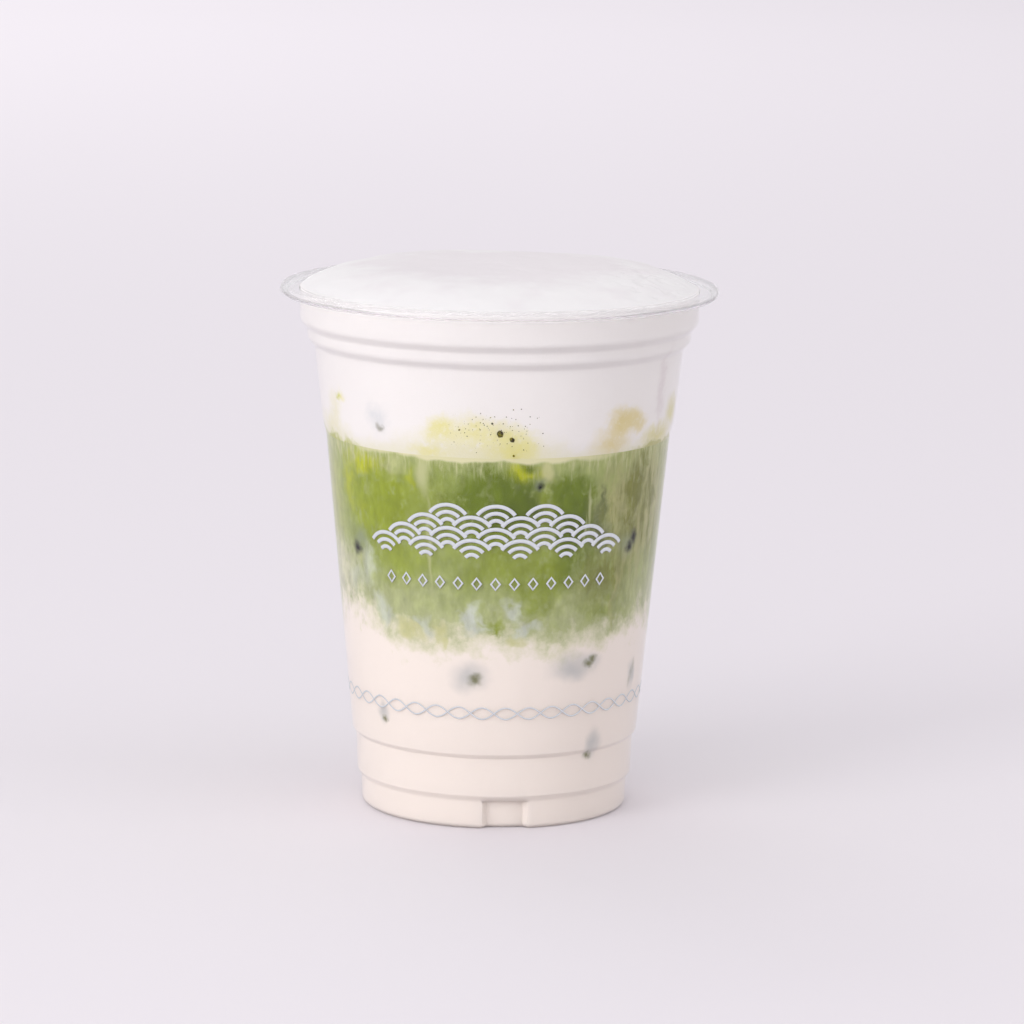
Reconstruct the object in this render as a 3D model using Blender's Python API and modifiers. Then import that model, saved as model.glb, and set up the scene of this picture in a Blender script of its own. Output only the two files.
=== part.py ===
"""An iced matcha latte under milk foam, in a clear 16 oz takeaway cup, for Blender 4.5.

Run it with blender --background --python part.py, or from the text editor.
Sizes are in millimetres and become metres when a mesh is made. The origin is
at the middle of the foot, +Z is up and the front of the cup faces -Y.
"""

import math

import bpy
from mathutils import Vector

MM = 0.001

# The clear sheet that the cup is pressed from
RIM_RADIUS = 49.0
RIM_TOP = 118.0
SHEET = 0.4
BEAD_RADIUS = 1.0
BEAD_END = -150.0
BEAD_STEPS = 4
NECK_RADIUS = 44.8
UPPER_COLLAR_FOOT = 109.6
LOWER_COLLAR_RADIUS = 43.0
LOWER_COLLAR_FOOT = 105.6
SHOULDER_RADIUS = 41.35
SHOULDER_HEIGHT = 104.3
LEDGE_HEIGHT = 84.9
BAND_TOP = 17.2
FOOT_BAND_TOP = 6.5
FOOT_RADIUS = 29.9
FOOT_INNER_RADIUS = 25.0
PUNT_HEIGHT = 3.6

# Three grip notches are pressed into the foot band, the first a little right of the front
NOTCHES = 3
FIRST_NOTCH = -85.0
NOTCH_WIDTH = 10.9
NOTCH_FLANK = 1.2
NOTCH_DEPTH = 1.5
NOTCH_TOP = 6.1

# What is in the cup
GAP = 0.3
MILK_TOP = 43.5
SWELL = 1.2
FOAM_EDGE = 117.3
FOAM_RISE = 5.5
FOAM_SQUARENESS = 5
FOAM_RINGS = 9
FOAM_UNEVENNESS = 0.25

SEGMENTS = 48


def rounded(corners):
    """Points of a line through (radius, height, fillet, steps) corners, each one rounded."""
    points = []
    for i, (radius, height, fillet, steps) in enumerate(corners):
        here = Vector((radius, height))
        if not fillet:
            points.append(here)
            continue
        back = (Vector(corners[i - 1][:2]) - here).normalized()
        ahead = (Vector(corners[i + 1][:2]) - here).normalized()
        half_angle = back.angle(ahead) / 2
        centre = here + (back + ahead).normalized() * fillet / math.sin(half_angle)
        reach = fillet / math.tan(half_angle)
        start = here + back * reach - centre
        end = here + ahead * reach - centre
        points += [centre + start.slerp(end, k / steps) * fillet for k in range(steps + 1)]
    return points


def inset(line, distance):
    """The line moved towards the inside of the cup, square to itself, with its end on the axis kept there."""
    moved = []
    for i, here in enumerate(line):
        before = (here - line[i - 1]).normalized() if i else None
        after = (line[i + 1] - here).normalized() if i + 1 < len(line) else before
        before = before or after
        along = (before + after).normalized()
        outward = Vector((-along.y, along.x))
        moved.append(here - outward * distance / max(0.5, along.dot(after)))
        if here.x == 0:
            moved[-1].x = 0
    return moved


def bead_line():
    """The inner side of the rolled rim, from its free end round and over to the top."""
    centre = Vector((RIM_RADIUS - BEAD_RADIUS, RIM_TOP - BEAD_RADIUS))
    points = []
    for k in range(BEAD_STEPS):
        angle = math.radians(BEAD_END + (90 - BEAD_END) * k / BEAD_STEPS)
        points.append(centre + Vector((math.cos(angle), math.sin(angle))) * (BEAD_RADIUS - SHEET))
    return points


def wall_line():
    """The outer skin from the underside of the lip, down the side and under the base."""
    lip = RIM_TOP - SHEET
    return rounded(
        [
            (RIM_RADIUS - BEAD_RADIUS, lip, 0, 0),
            (NECK_RADIUS, lip, 0.7, 1),
            (NECK_RADIUS - 0.15, UPPER_COLLAR_FOOT, 1.4, 2),
            (LOWER_COLLAR_RADIUS + 0.05, UPPER_COLLAR_FOOT - 1.0, 0, 0),
            (LOWER_COLLAR_RADIUS, LOWER_COLLAR_FOOT, 1.3, 2),
            (SHOULDER_RADIUS, SHOULDER_HEIGHT, 0, 0),
            (39.5, LEDGE_HEIGHT + 3.1, 0, 0),
            (38.6, LEDGE_HEIGHT - 0.3, 0, 0),
            (32.2, BAND_TOP, 0.9, 1),
            (31.35, BAND_TOP - 0.9, 0, 0),
            (31.05, FOOT_BAND_TOP + 1.1, 0.9, 1),
            (30.15, FOOT_BAND_TOP, 0, 0),
            (30.1, FOOT_BAND_TOP - 0.5, 0, 0),
            (FOOT_RADIUS, 0, 1.2, 2),
            (FOOT_INNER_RADIUS, 0, 0.9, 1),
            (FOOT_INNER_RADIUS - 0.8, PUNT_HEIGHT, 0.9, 1),
            (0, PUNT_HEIGHT + 0.4, 0, 0),
        ]
    )


def between(line, top, bottom):
    """The stretch of a falling line from height top to height bottom, with both ends cut level."""
    kept = [p for p in line if bottom < p.y < top]

    def at(height):
        for upper, lower in zip(line, line[1:]):
            if upper.y >= height > lower.y:
                return upper.lerp(lower, (upper.y - height) / (upper.y - lower.y))

    return [at(top), *kept, at(bottom)]


def turned(name, line, collection):
    """An object turned round Z from a line that runs down its outer side."""
    start = math.radians(FIRST_NOTCH)
    profile = bpy.data.meshes.new(name + "_line")
    points = [(p.x * math.cos(start) * MM, p.x * math.sin(start) * MM, p.y * MM) for p in line]
    profile.from_pydata(points, [(i, i + 1) for i in range(len(points) - 1)], [])
    thing = bpy.data.objects.new(name, profile)
    collection.objects.link(thing)
    screw = thing.modifiers.new("turn", "SCREW")
    screw.steps = screw.render_steps = SEGMENTS
    screw.use_merge_vertices = True
    screw.merge_threshold = 0.00001
    depsgraph = bpy.context.evaluated_depsgraph_get()
    thing.data = bpy.data.meshes.new_from_object(thing.evaluated_get(depsgraph))
    thing.modifiers.clear()
    bpy.data.meshes.remove(profile)
    thing.data.name = name
    thing.data.shade_smooth()
    return thing


def press_notches(mesh, clearance):
    """Presses the grip notches into the foot band, wider and higher by the clearance."""
    pitch = 360 / NOTCHES
    column = 360 / SEGMENTS
    edge = math.degrees((NOTCH_WIDTH / 2 + clearance) / FOOT_RADIUS)
    floor = edge - math.degrees(NOTCH_FLANK / FOOT_RADIUS)
    foot_middle = (FOOT_RADIUS + FOOT_INNER_RADIUS) / 2
    for vertex in mesh.vertices:
        x, y, z = (c / MM for c in vertex.co)
        radius = math.hypot(x, y)
        if radius < foot_middle or z > NOTCH_TOP + 1.5 * clearance:
            continue
        angle = math.degrees(math.atan2(y, x))
        off = (angle - FIRST_NOTCH + pitch / 2) % pitch - pitch / 2
        step = round(off / column)
        if abs(step) > 2:
            continue
        if abs(step) == 2:
            new_off = math.copysign(edge, step)
        else:
            new_off = floor * step
            radius -= NOTCH_DEPTH
        turn = math.radians(angle + new_off - off)
        vertex.co = Vector((radius * math.cos(turn), radius * math.sin(turn), z)) * MM


def swell(x, y):
    """How far the top of the milk stands above or below its mean height, in millimetres."""
    angle = math.atan2(y, x)
    out = min(1.0, math.hypot(x, y) / 30)
    return SWELL * out * (0.6 * math.sin(2 * angle + 0.6) + 0.4 * math.sin(5 * angle + 2.0))


def lift(mesh, height, rise):
    """Lifts every vertex near a height by rise(x, y), all in millimetres."""
    for vertex in mesh.vertices:
        if abs(vertex.co.z / MM - height) < GAP:
            vertex.co.z += rise(vertex.co.x / MM, vertex.co.y / MM) * MM


def make_cup(collection, material):
    """The pressed cup: one skin, notched at the foot, with the sheet's thickness inside it."""
    cup = turned("cup", bead_line() + wall_line(), collection)
    press_notches(cup.data, 0)
    sheet = cup.modifiers.new("sheet", "SOLIDIFY")
    sheet.thickness = SHEET * MM
    sheet.offset = -1
    sheet.use_even_offset = True
    cup.data.materials.append(material)
    return cup


def make_milk(collection, material):
    """The plain milk at the bottom, down into the hollow of the foot."""
    inside = inset(wall_line(), SHEET + GAP)
    top = MILK_TOP - GAP / 2
    side = [p for p in inside if p.y < top]
    edge = between(inside, top, BAND_TOP)[0]
    milk = turned("milk", [Vector((0, top)), edge.lerp(Vector((0, top)), 0.4), edge, *side], collection)
    press_notches(milk.data, SHEET + GAP)
    lift(milk.data, top, swell)
    milk.data.materials.append(material)
    return milk


def make_matcha(collection, material):
    """The green layer, from the milk up to the ledge in the wall."""
    top, bottom = LEDGE_HEIGHT - GAP / 2, MILK_TOP + GAP / 2
    side = between(inset(wall_line(), SHEET + GAP), top, bottom)
    line = [Vector((0, top)), *side, side[-1].lerp(Vector((0, bottom)), 0.4), Vector((0, bottom))]
    matcha = turned("matcha", line, collection)
    lift(matcha.data, bottom, swell)
    matcha.data.materials.append(material)
    return matcha


def foam_unevenness(x, y):
    """Broad shallow waves on the foam, in millimetres."""
    return FOAM_UNEVENNESS * (math.sin(x / 9 + 0.8) * math.cos(y / 11 - 0.4) + math.sin((x - y) / 14))


def make_foam(collection, material):
    """The milk foam, which fills the cup from the ledge to the brim and swells above the rim."""
    bottom = LEDGE_HEIGHT + GAP / 2
    side = between(inset(wall_line(), SHEET + GAP), FOAM_EDGE, bottom)
    edge_radius = side[0].x
    mound = []
    for k in range(FOAM_RINGS):
        share = math.sin(math.pi / 2 * k / FOAM_RINGS)
        rise = FOAM_RISE * (1 - share**FOAM_SQUARENESS)
        mound.append(Vector((edge_radius * share, FOAM_EDGE + rise)))
    foam = turned("foam", [*mound, *side, Vector((0, bottom))], collection)
    for vertex in foam.data.vertices:
        x, y, z = (c / MM for c in vertex.co)
        if z > FOAM_EDGE + GAP:
            vertex.co.z += foam_unevenness(x, y) * MM
    foam.data.materials.append(material)
    return foam


def finish(name, colour, roughness, alpha=1.0):
    """A Principled material."""
    material = bpy.data.materials.new(name)
    material.use_nodes = True
    shader = material.node_tree.nodes["Principled BSDF"]
    shader.inputs["Base Color"].default_value = (*colour, 1)
    shader.inputs["Roughness"].default_value = roughness
    shader.inputs["Metallic"].default_value = 0
    shader.inputs["Alpha"].default_value = alpha
    return material


def main():
    for old in list(bpy.data.objects):
        bpy.data.objects.remove(old)
    latte = bpy.data.collections.new("matcha_latte")
    bpy.context.scene.collection.children.link(latte)
    make_cup(latte, finish("clear_plastic", (0.93, 0.93, 0.94), 0.06, 0.3))
    make_milk(latte, finish("milk", (0.86, 0.76, 0.70), 0.35))
    make_matcha(latte, finish("matcha", (0.28, 0.33, 0.08), 0.35))
    make_foam(latte, finish("foam", (0.90, 0.88, 0.87), 0.6))


main()
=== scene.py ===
# %% [markdown]
# # An iced matcha latte in a clear takeaway cup
#
# The drink is three layers in a pressed plastic cup: plain milk at the bottom, milk greened with
# matcha above it, and a head of fine milk foam that stands over the rim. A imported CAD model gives
# each of them its size and place. This notebook keeps those places and makes the surfaces that
# are seen: the clear sheet, the clouds in the drink, the foam's skin, the powder and the ice.

import math

import bmesh
import bpy
from mathutils import Matrix, Vector, noise


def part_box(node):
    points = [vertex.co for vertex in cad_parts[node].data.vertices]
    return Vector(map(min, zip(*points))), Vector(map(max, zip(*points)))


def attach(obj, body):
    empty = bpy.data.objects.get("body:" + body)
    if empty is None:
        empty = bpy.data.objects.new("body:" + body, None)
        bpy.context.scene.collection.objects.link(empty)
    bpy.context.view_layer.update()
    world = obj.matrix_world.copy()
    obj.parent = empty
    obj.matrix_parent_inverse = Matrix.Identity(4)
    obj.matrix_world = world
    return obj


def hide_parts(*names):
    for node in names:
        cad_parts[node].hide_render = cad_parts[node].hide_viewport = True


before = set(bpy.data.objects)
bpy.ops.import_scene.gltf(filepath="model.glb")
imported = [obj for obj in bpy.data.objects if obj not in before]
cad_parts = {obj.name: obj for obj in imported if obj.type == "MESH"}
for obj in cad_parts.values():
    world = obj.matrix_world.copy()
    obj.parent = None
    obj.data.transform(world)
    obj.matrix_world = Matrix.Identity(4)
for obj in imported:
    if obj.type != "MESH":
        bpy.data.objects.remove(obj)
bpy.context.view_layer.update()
MM = 0.001

scene = bpy.context.scene
latte = bpy.data.collections.new("matcha_latte")
scene.collection.children.link(latte)
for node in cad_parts:
    low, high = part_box(node)
    print(node, "stands from", round(low.z / MM, 1), "to", round(high.z / MM, 1), "mm")

# %% [markdown]
# ## The camera
#
# The cup was photographed from about a metre away with a long lens, a little above the rim, so
# its ellipses are shallow. A long lens keeps the sides nearly parallel. The camera also leans by
# less than a degree. Turning it about its own Z axis last gives that lean.

# %% The camera
CAMERA_PLACE = Vector((0.0034, -1.0585, 0.2582))
CAMERA_DIP = math.radians(10.28)
CAMERA_LEAN = math.radians(0.756)
CAMERA_LENS = 167.7


def set_up_camera():
    """The camera, level with its dip below the horizon and its lean."""
    lens = bpy.data.cameras.new("camera")
    lens.lens = CAMERA_LENS
    lens.clip_end = 100
    camera = bpy.data.objects.new("camera", lens)
    dip = Matrix.Rotation(math.pi / 2 - CAMERA_DIP, 4, "X")
    lean = Matrix.Rotation(CAMERA_LEAN, 4, "Z")
    camera.matrix_world = Matrix.Translation(CAMERA_PLACE) @ dip @ lean
    scene.collection.objects.link(camera)
    scene.camera = camera
    return camera


camera = set_up_camera()
print("camera", round(camera.location.length, 2), "m from the foot, lens", CAMERA_LENS, "mm")

# %% [markdown]
# ## Wires
#
# Shader nodes and geometry nodes are both graphs. Written as calls, even a short sum takes many
# lines. This small class wraps an output socket so that Python's own operators add the Math
# nodes: `1 - mask` or `height / 40`. Every other kind of node comes from its one `node` method.

# %% Wires
class Wire:
    """An output socket of a node tree. Arithmetic on it adds Math nodes to the tree."""

    def __init__(self, tree, socket=None):
        self.tree = tree
        self.socket = socket

    def node(self, kind, settings=None, inputs=None, output=0):
        """Adds a node: first its settings, then the values or wires of its sockets."""
        made = self.tree.nodes.new(kind)
        for name, value in (settings or {}).items():
            if name == "stops":
                for stop, (at, colour) in enumerate(value):
                    ramp = made.color_ramp.elements
                    element = ramp[stop] if stop < 2 else ramp.new(at)
                    element.position = at
                    element.color = (*colour, 1)
            else:
                setattr(made, name, value)
        for name, value in (inputs or {}).items():
            if isinstance(value, Wire):
                self.tree.links.new(value.socket, made.inputs[name])
            else:
                made.inputs[name].default_value = value
        return Wire(self.tree, made.outputs[output])

    def maths(self, operation, *values):
        """A Math node on these values."""
        return self.node("ShaderNodeMath", {"operation": operation}, dict(enumerate(values)))

    def vector(self, operation, *values, output=0):
        """A Vector Math node on these values."""
        settings = {"operation": operation}
        return self.node("ShaderNodeVectorMath", settings, dict(enumerate(values)), output)

    def parts(self):
        """The X, Y and Z of a vector, as three wires."""
        made = self.node("ShaderNodeSeparateXYZ", None, {0: self})
        return [Wire(self.tree, socket) for socket in made.socket.node.outputs]

    def step(self, low, high):
        """0 below low and 1 above high, with a smooth rise between. High may be the lower one."""
        values = {"Value": self, "From Min": low, "From Max": high}
        return self.node("ShaderNodeMapRange", {"interpolation_type": "SMOOTHSTEP"}, values)

    def __add__(self, other):
        return self.maths("ADD", self, other)

    def __sub__(self, other):
        return self.maths("SUBTRACT", self, other)

    def __rsub__(self, other):
        return self.maths("SUBTRACT", other, self)

    def __mul__(self, other):
        return self.maths("MULTIPLY", self, other)

    def __truediv__(self, other):
        return self.maths("DIVIDE", self, other)

    def __rtruediv__(self, other):
        return self.maths("DIVIDE", other, self)

    __radd__ = __add__
    __rmul__ = __mul__


def light_of(red, green, blue):
    """A colour given in the 0 to 255 of a colour picker, as the linear numbers of a shader."""
    shares = [value / 255 for value in (red, green, blue)]
    return tuple(s / 12.92 if s < 0.04045 else ((s + 0.055) / 1.055) ** 2.4 for s in shares)


print("a mid grey of 128 is", round(light_of(128, 128, 128)[0], 3), "of the light")

# %% [markdown]
# ## The floor and the light
#
# The cup stands on a wide sheet of pale lilac-grey paper in a bright white room. Most of the
# light is even and comes from the room itself, which the world stands for. A big window on the
# left, low down and a little in front, gives the bright left side and the long soft shadow. Two
# weaker lamps stand for the camera side of the room and for a reflecting card on the right, and
# a last one lights the paper far behind the cup.

# %% The floor and the light
FLOOR_SIZE = 24.0
FLOOR_DROP = 0.05 * MM
ROOM_COLOUR = (0.985, 0.97, 0.995)
ROOM_STRENGTH = 0.77
PAPER = light_of(237, 232, 237)
LIT_PLACE = Vector((0, 0, 0.06))

# name, place in metres, size in metres, power in watts, where it points
LAMPS = [
    ("window", (-1.20, -1.01, 0.58), 0.8, 7.4, LIT_PLACE),
    ("front_wall", (-0.57, -1.23, 0.91), 1.1, 2.6, LIT_PLACE),
    ("right_card", (1.47, -0.54, 0.40), 1.1, 4.8, LIT_PLACE),
    ("back_light", (-0.9, 2.2, 1.5), 1.8, 12.0, Vector((-0.7, 2.0, 0))),
]


def new_material(name):
    """A material with its Principled shader, and a wire to start its maths from."""
    material = bpy.data.materials.new(name)
    material.use_nodes = True
    return material, material.node_tree.nodes["Principled BSDF"], Wire(material.node_tree)


def join(shader, **wires):
    """Links wires, or sets values, on a shader's sockets. Underscores stand for spaces."""
    for name, value in wires.items():
        socket = shader.inputs[name.replace("_", " ")]
        if isinstance(value, Wire):
            value.tree.links.new(value.socket, socket)
        else:
            socket.default_value = value


def lay_floor():
    """A wide sheet of matt paper, just under the foot of the cup."""
    sheet = bpy.data.meshes.new("floor")
    half = FLOOR_SIZE / 2
    corners = [(-half, -half), (half, -half), (half, half), (-half, half)]
    sheet.from_pydata([(x, y, -FLOOR_DROP) for x, y in corners], [], [(0, 1, 2, 3)])
    floor = bpy.data.objects.new("floor", sheet)
    scene.collection.objects.link(floor)
    paper, shader, start = new_material("floor_paper")
    join(shader, Base_Color=(*PAPER, 1), Roughness=0.9, Specular_IOR_Level=0.2)
    sheet.materials.append(paper)


def light_room():
    """An even white room, and the lamps."""
    world = bpy.data.worlds.new("room")
    scene.world = world
    world.use_nodes = True
    glow = world.node_tree.nodes["Background"]
    glow.inputs["Color"].default_value = (*ROOM_COLOUR, 1)
    glow.inputs["Strength"].default_value = ROOM_STRENGTH
    for name, place, size, power, target in LAMPS:
        lamp = bpy.data.lights.new(name, "AREA")
        lamp.size = size
        lamp.energy = power
        stand = bpy.data.objects.new(name, lamp)
        stand.location = place
        stand.rotation_euler = (target - stand.location).to_track_quat("-Z", "Y").to_euler()
        stand.visible_glossy = False
        scene.collection.objects.link(stand)


scene.view_settings.view_transform = "Standard"
lay_floor()
light_room()
print(len(LAMPS), "lamps of", sum(power for _, _, _, power, _ in LAMPS), "W in all")

# %% [markdown]
# ## The cup's outline
#
# A takeaway cup is pressed from one clear sheet, so its whole shape is a line turned round an
# axis. The line is written as corners, each with the radius of its fillet, and a function rounds
# them. The same line moved inwards by the sheet's thickness gives the inner skin, and moved a
# little less it gives the side of the drink, which then reaches just into the wall. Without that
# overlap a thin layer of air would show between the drink and the plastic.

# %% The cup's outline
RIM_RADIUS = 49.0
RIM_TOP = 118.0
SHEET = 0.4
BEAD_RADIUS = 1.0
BEAD_END = -150
NECK_RADIUS = 44.8
UPPER_COLLAR_FOOT = 110.1
LOWER_COLLAR_RADIUS = 43.0
LOWER_COLLAR_FOOT = 106.1
SHOULDER_RADIUS = 41.35
SHOULDER_HEIGHT = 104.5
LEDGE_HEIGHT = 84.9
WALL_TOP = (38.6, 84.6)
WALL_FOOT = (32.2, 17.2)
FOOT_BAND_TOP = 6.5
FOOT_RADIUS = 29.9
FOOT_INNER_RADIUS = 25.0
PUNT_HEIGHT = 3.6
ARC_STEP = math.radians(12)
WETTING = 0.08


def rounded(corners):
    """Points of a line through (radius, height, fillet) corners, each one rounded."""
    points = []
    for i, (radius, height, fillet) in enumerate(corners):
        here = Vector((radius, height))
        if not fillet:
            points.append(here)
            continue
        back = (Vector(corners[i - 1][:2]) - here).normalized()
        ahead = (Vector(corners[i + 1][:2]) - here).normalized()
        half_angle = back.angle(ahead) / 2
        centre = here + (back + ahead).normalized() * fillet / math.sin(half_angle)
        reach = fillet / math.tan(half_angle)
        start = here + back * reach - centre
        end = here + ahead * reach - centre
        steps = max(2, math.ceil((math.pi - 2 * half_angle) / ARC_STEP))
        points += [centre + start.slerp(end, k / steps) * fillet for k in range(steps + 1)]
    return points


def inset(line, distance):
    """The line moved towards the inside of the cup, square to itself."""
    moved = []
    for i, here in enumerate(line):
        before = (here - line[i - 1]).normalized() if i else None
        after = (line[i + 1] - here).normalized() if i + 1 < len(line) else before
        before = before or after
        along = (before + after).normalized()
        outward = Vector((-along.y, along.x))
        moved.append(here - outward * distance / max(0.5, along.dot(after)))
        if here.x == 0:
            moved[-1].x = 0
    return moved


def between(line, top, bottom):
    """The stretch of a falling line from one height to another, with both ends cut level."""

    def at(height):
        for upper, lower in zip(line, line[1:]):
            if upper.y >= height > lower.y:
                return upper.lerp(lower, (upper.y - height) / (upper.y - lower.y))

    return [at(top), *(p for p in line if bottom < p.y < top), at(bottom)]


def radius_at(line, height):
    """The radius of an outline at a height, in millimetres."""
    return between(line, height, height - 1)[0].x


def bead_line():
    """The inner side of the rolled rim, from its free end round and over to the top."""
    centre = Vector((RIM_RADIUS - BEAD_RADIUS, RIM_TOP - BEAD_RADIUS))
    steps = math.ceil(math.radians(90 - BEAD_END) / ARC_STEP)
    angles = [math.radians(BEAD_END + (90 - BEAD_END) * k / steps) for k in range(steps)]
    return [centre + Vector((math.cos(a), math.sin(a))) * (BEAD_RADIUS - SHEET) for a in angles]


def wall_line():
    """The outer skin from the underside of the lip, down the side and under the base."""
    lip = RIM_TOP - SHEET
    return rounded(
        [
            (RIM_RADIUS - BEAD_RADIUS, lip, 0),
            (NECK_RADIUS, lip, 0.7),
            (NECK_RADIUS - 0.15, UPPER_COLLAR_FOOT, 2.0),
            (LOWER_COLLAR_RADIUS + 0.05, UPPER_COLLAR_FOOT - 1.6, 1.2),
            (LOWER_COLLAR_RADIUS, LOWER_COLLAR_FOOT, 2.0),
            (SHOULDER_RADIUS, SHOULDER_HEIGHT, 1.4),
            (39.5, LEDGE_HEIGHT + 3.1, 4.0),
            (*WALL_TOP, 4.0),
            (*WALL_FOOT, 0.9),
            (31.35, WALL_FOOT[1] - 0.9, 0.4),
            (31.05, FOOT_BAND_TOP + 1.1, 0.9),
            (30.15, FOOT_BAND_TOP, 0),
            (30.1, FOOT_BAND_TOP - 0.5, 0),
            (FOOT_RADIUS, 0, 1.2),
            (FOOT_INNER_RADIUS, 0, 0.9),
            (FOOT_INNER_RADIUS - 0.8, PUNT_HEIGHT, 0.9),
            (0, PUNT_HEIGHT + 0.4, 0),
        ]
    )


outer_skin = wall_line()
drink_side = inset(outer_skin, SHEET - WETTING)
wall_slope = (WALL_TOP[0] - WALL_FOOT[0]) / (WALL_TOP[1] - WALL_FOOT[1])
print("outline of", len(outer_skin), "points; the wall leans out", round(wall_slope, 3), "mm a mm")

# %% [markdown]
# ## A lathe made of geometry nodes
#
# Every layer here is turned, and all of them share the three grip notches at the foot. One
# geometry-nodes tree does the work. It makes a grid with a row for each point of the outline and
# a column for each step of the turn, then moves each grid point to its place. The notches are a
# few sums on the angle and the height. The tree's sizes are named inputs, so the cup and the milk
# use the same tree.

# %% Tools for geometry nodes
SOCKETS = {
    int: "NodeSocketInt",
    float: "NodeSocketFloat",
    bool: "NodeSocketBool",
    bpy.types.Object: "NodeSocketObject",
    bpy.types.Material: "NodeSocketMaterial",
}


def new_tree(name, kinds):
    """A geometry-nodes tree with named inputs, and the wires that bring them in."""
    tree = bpy.data.node_groups.new(name, "GeometryNodeTree")
    tree.interface.new_socket("Geometry", in_out="OUTPUT", socket_type="NodeSocketGeometry")
    tree.interface.new_socket("Geometry", in_out="INPUT", socket_type="NodeSocketGeometry")
    for label, kind in kinds.items():
        tree.interface.new_socket(label, in_out="INPUT", socket_type=SOCKETS[kind])
    entry = tree.nodes.new("NodeGroupInput")
    return tree, {socket.name: Wire(tree, socket) for socket in entry.outputs if socket.name}


def end_tree(tree, geometry, finish):
    """Ends a tree: real points instead of instances, the finish, and the way out."""
    real = geometry.node("GeometryNodeRealizeInstances", None, {"Geometry": geometry})
    painted = real.node("GeometryNodeSetMaterial", None, {"Geometry": real, "Material": finish})
    way_out = tree.nodes.new("NodeGroupOutput")
    tree.links.new(painted.socket, way_out.inputs["Geometry"])


def grow(name, tree, seed_mesh, sizes):
    """Runs a tree on a mesh and keeps the result as the plain mesh of a new object."""
    thing = bpy.data.objects.new(name, seed_mesh)
    latte.objects.link(thing)
    modifier = thing.modifiers.new(tree.name, "NODES")
    modifier.node_group = tree
    for item in tree.interface.items_tree:
        if item.in_out == "INPUT" and item.name in sizes:
            modifier[item.identifier] = sizes[item.name]
    depsgraph = bpy.context.evaluated_depsgraph_get()
    grown = bpy.data.meshes.new_from_object(thing.evaluated_get(depsgraph))
    thing.modifiers.clear()
    thing.data = grown
    grown.name = name
    bpy.data.meshes.remove(seed_mesh)
    return thing


print("sockets for", ", ".join(kind.__name__ for kind in SOCKETS))

# %% The lathe
TURN_STEPS = 360
NOTCHES = 3
FIRST_NOTCH = math.radians(-84.7)
NOTCH_WIDTH = 10.9 * MM
NOTCH_FLANK = 1.2 * MM
NOTCH_DEPTH = 1.5 * MM
NOTCH_TOP = 6.3 * MM
SHARP_ANGLE = math.radians(35)
WELD = 0.002 * MM


def lathe_tree():
    """Geometry nodes that turn an outline round Z and press the grip notches into its foot."""
    kinds = {"Steps": int, "Notches": int, "First notch": float, "Half width": float}
    kinds |= {"Flank": float, "Depth": float, "Top": float, "Foot radius": float}
    kinds |= {"Inner radius": float, "Finish": bpy.types.Material}
    tree, given = new_tree("lathe", kinds)
    start = Wire(tree)
    outline = given["Geometry"]
    points = {"component": "MESH"}
    rows = start.node("GeometryNodeAttributeDomainSize", points, {"Geometry": outline}, "Point Count")
    counts = {"Vertices X": given["Steps"] + 1, "Vertices Y": rows}
    grid = start.node("GeometryNodeMeshGrid", None, counts, "Mesh")
    index = start.node("GeometryNodeInputIndex")
    row = index.maths("MODULO", index, rows)
    column = index.maths("FLOOR", index / rows)
    sampling = {"data_type": "FLOAT_VECTOR", "domain": "POINT"}
    sources = {"Geometry": outline, "Value": start.node("GeometryNodeInputPosition"), "Index": row}
    radius, _, height = start.node("GeometryNodeSampleIndex", sampling, sources).parts()
    turn = column * (math.tau / given["Steps"])
    pitch = math.tau / given["Notches"]
    off = turn.maths("WRAP", turn, pitch / 2, pitch / -2)
    along = off.maths("ABSOLUTE", off) * given["Foot radius"]
    in_notch = along.step(given["Half width"], given["Half width"] - given["Flank"])
    low_down = height.maths("LESS_THAN", height, given["Top"])
    outside = radius.maths("GREATER_THAN", radius, given["Inner radius"])
    pressed = radius - in_notch * low_down * outside * given["Depth"]
    angle = turn + given["First notch"]
    places = {
        "X": pressed * angle.maths("COSINE", angle),
        "Y": pressed * angle.maths("SINE", angle),
        "Z": height,
    }
    place = start.node("ShaderNodeCombineXYZ", None, places)
    in_place = grid.node("GeometryNodeSetPosition", None, {"Geometry": grid, "Position": place})
    weld = {"Geometry": in_place, "Distance": WELD}
    welded = grid.node("GeometryNodeMergeByDistance", None, weld)
    smooth = welded.node("GeometryNodeSetShadeSmooth", None, {"Geometry": welded})
    end_tree(tree, smooth, given["Finish"])
    return tree


def line_mesh(name, line):
    """An outline of (radius, height) points in millimetres as a mesh of edges in metres."""
    mesh = bpy.data.meshes.new(name)
    points = [(p.x * MM, 0, p.y * MM) for p in line]
    mesh.from_pydata(points, [(i, i + 1) for i in range(len(line) - 1)], [])
    return mesh


def turned(name, line, finish):
    """A turned piece of the drink or the cup, with its faces pointing outwards."""
    sizes = {
        "Steps": TURN_STEPS,
        "Notches": NOTCHES,
        "First notch": FIRST_NOTCH,
        "Half width": NOTCH_WIDTH / 2,
        "Flank": NOTCH_FLANK,
        "Depth": NOTCH_DEPTH,
        "Top": NOTCH_TOP,
        "Foot radius": FOOT_RADIUS * MM,
        "Inner radius": (FOOT_RADIUS + FOOT_INNER_RADIUS) / 2 * MM,
        "Finish": finish,
    }
    piece = grow(name, lathe, line_mesh(name + "_line", line), sizes)
    shell = bmesh.new()
    shell.from_mesh(piece.data)
    if shell.calc_volume(signed=True) < 0:
        bmesh.ops.reverse_faces(shell, faces=shell.faces)
    open_edges = sum(not edge.is_manifold for edge in shell.edges)
    volume = round(shell.calc_volume() * 1e6, 1)
    print(name, len(shell.faces), "faces,", open_edges, "open edges,", volume, "cubic centimetres")
    shell.to_mesh(piece.data)
    shell.free()
    piece.data.set_sharp_from_angle(angle=SHARP_ANGLE)
    return piece


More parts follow.
